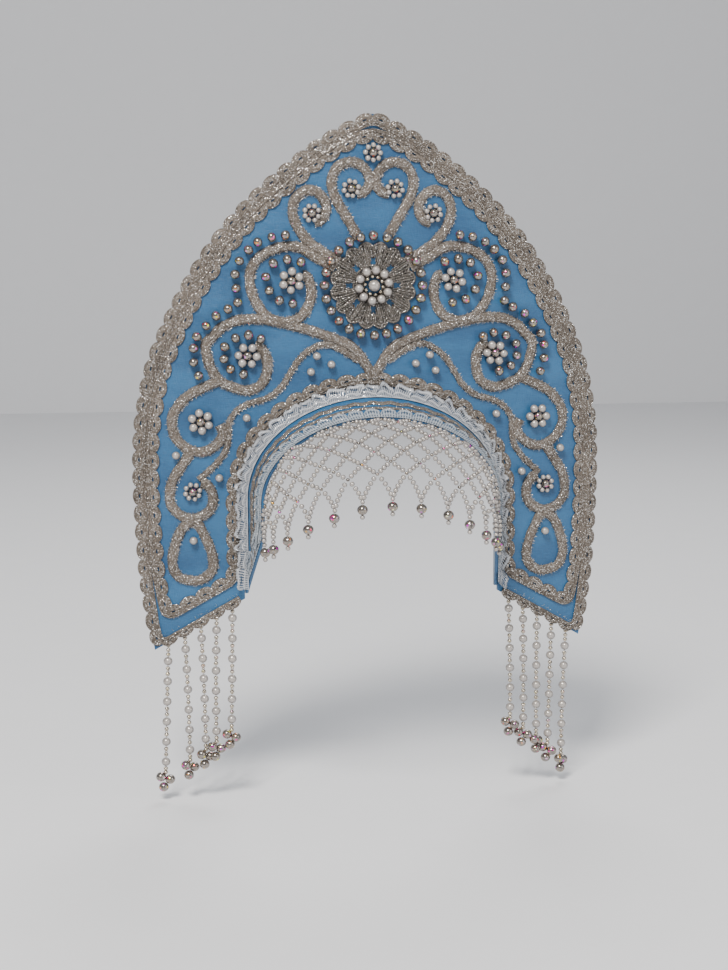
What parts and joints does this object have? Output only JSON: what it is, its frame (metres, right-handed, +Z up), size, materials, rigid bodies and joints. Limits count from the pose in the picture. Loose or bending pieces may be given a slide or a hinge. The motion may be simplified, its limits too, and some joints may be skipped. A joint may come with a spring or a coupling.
{
  "type": "kokoshnik headdress",
  "caption": "Pointed-arch front panel in satin with a forehead band, silver braid and cord scrolls, pearl flowers, a pearl net over the brow and bead strings below.",
  "frame": {"origin": "head_seat: the underside of the band in the middle of the arch, in the plane of the panel's face, where the headdress rests on the head.", "axes": "+Z up to the point of the panel, -Y the front, +X the viewer's right as seen from the front."},
  "size_m": [0.3126, 0.0982, 0.4473],
  "materials": {
    "satin": "sky-blue satin",
    "silver_braid": "silver lurex braid and cord",
    "lace": "white lace",
    "pearl": "ivory bead pearls",
    "silver_bead": "faceted silver beads"
  },
  "bodies": {
    "root": {"panel": "satin", "arch_band": "satin", "field_braid": "silver_braid", "edge_braid": "silver_braid", "junction_lace": "lace", "front_lace": "lace", "band_braid_wide": "silver_braid", "band_braid_thin": "silver_braid", "crest_cord": "silver_braid", "scroll_cord_l": "silver_braid", "scroll_cord_r": "silver_braid", "flower_apex": "pearl", "flower_crest_l": "pearl", "flower_crest_r": "pearl", "flower_shoulder_l": "pearl", "flower_shoulder_r": "pearl", "flower_upper_l": "pearl", "flower_upper_r": "pearl", "flower_middle_l": "pearl", "flower_middle_r": "pearl", "flower_lower_l": "pearl", "flower_lower_r": "pearl", "flower_small_l": "pearl", "flower_small_r": "pearl", "medallion_lace": "silver_braid", "medallion_pearls": "pearl", "medallion_centre": "pearl", "medallion_beads": "silver_bead", "pearl_a_l": "pearl", "pearl_a_r": "pearl", "pearl_b_l": "pearl", "pearl_b_r": "pearl", "pearl_c_l": "pearl", "pearl_c_r": "pearl", "pearl_d_l": "pearl", "pearl_d_r": "pearl", "pearl_e_l": "pearl", "pearl_e_r": "pearl", "pearl_f_l": "pearl", "pearl_f_r": "pearl", "pearl_g_l": "pearl", "pearl_g_r": "pearl", "bead_row_outer_l": "silver_bead", "bead_row_outer_r": "silver_bead", "bead_row_upper_l": "silver_bead", "bead_row_upper_r": "silver_bead", "bead_row_middle_l": "silver_bead", "bead_row_middle_r": "silver_bead", "bead_net": "pearl", "fringe_l1": "pearl", "fringe_r1": "pearl", "fringe_l2": "pearl", "fringe_r2": "pearl", "fringe_l3": "pearl", "fringe_r3": "pearl", "fringe_l4": "pearl", "fringe_r4": "pearl", "fringe_l5": "pearl", "fringe_r5": "pearl"}
  },
  "joints": []
}
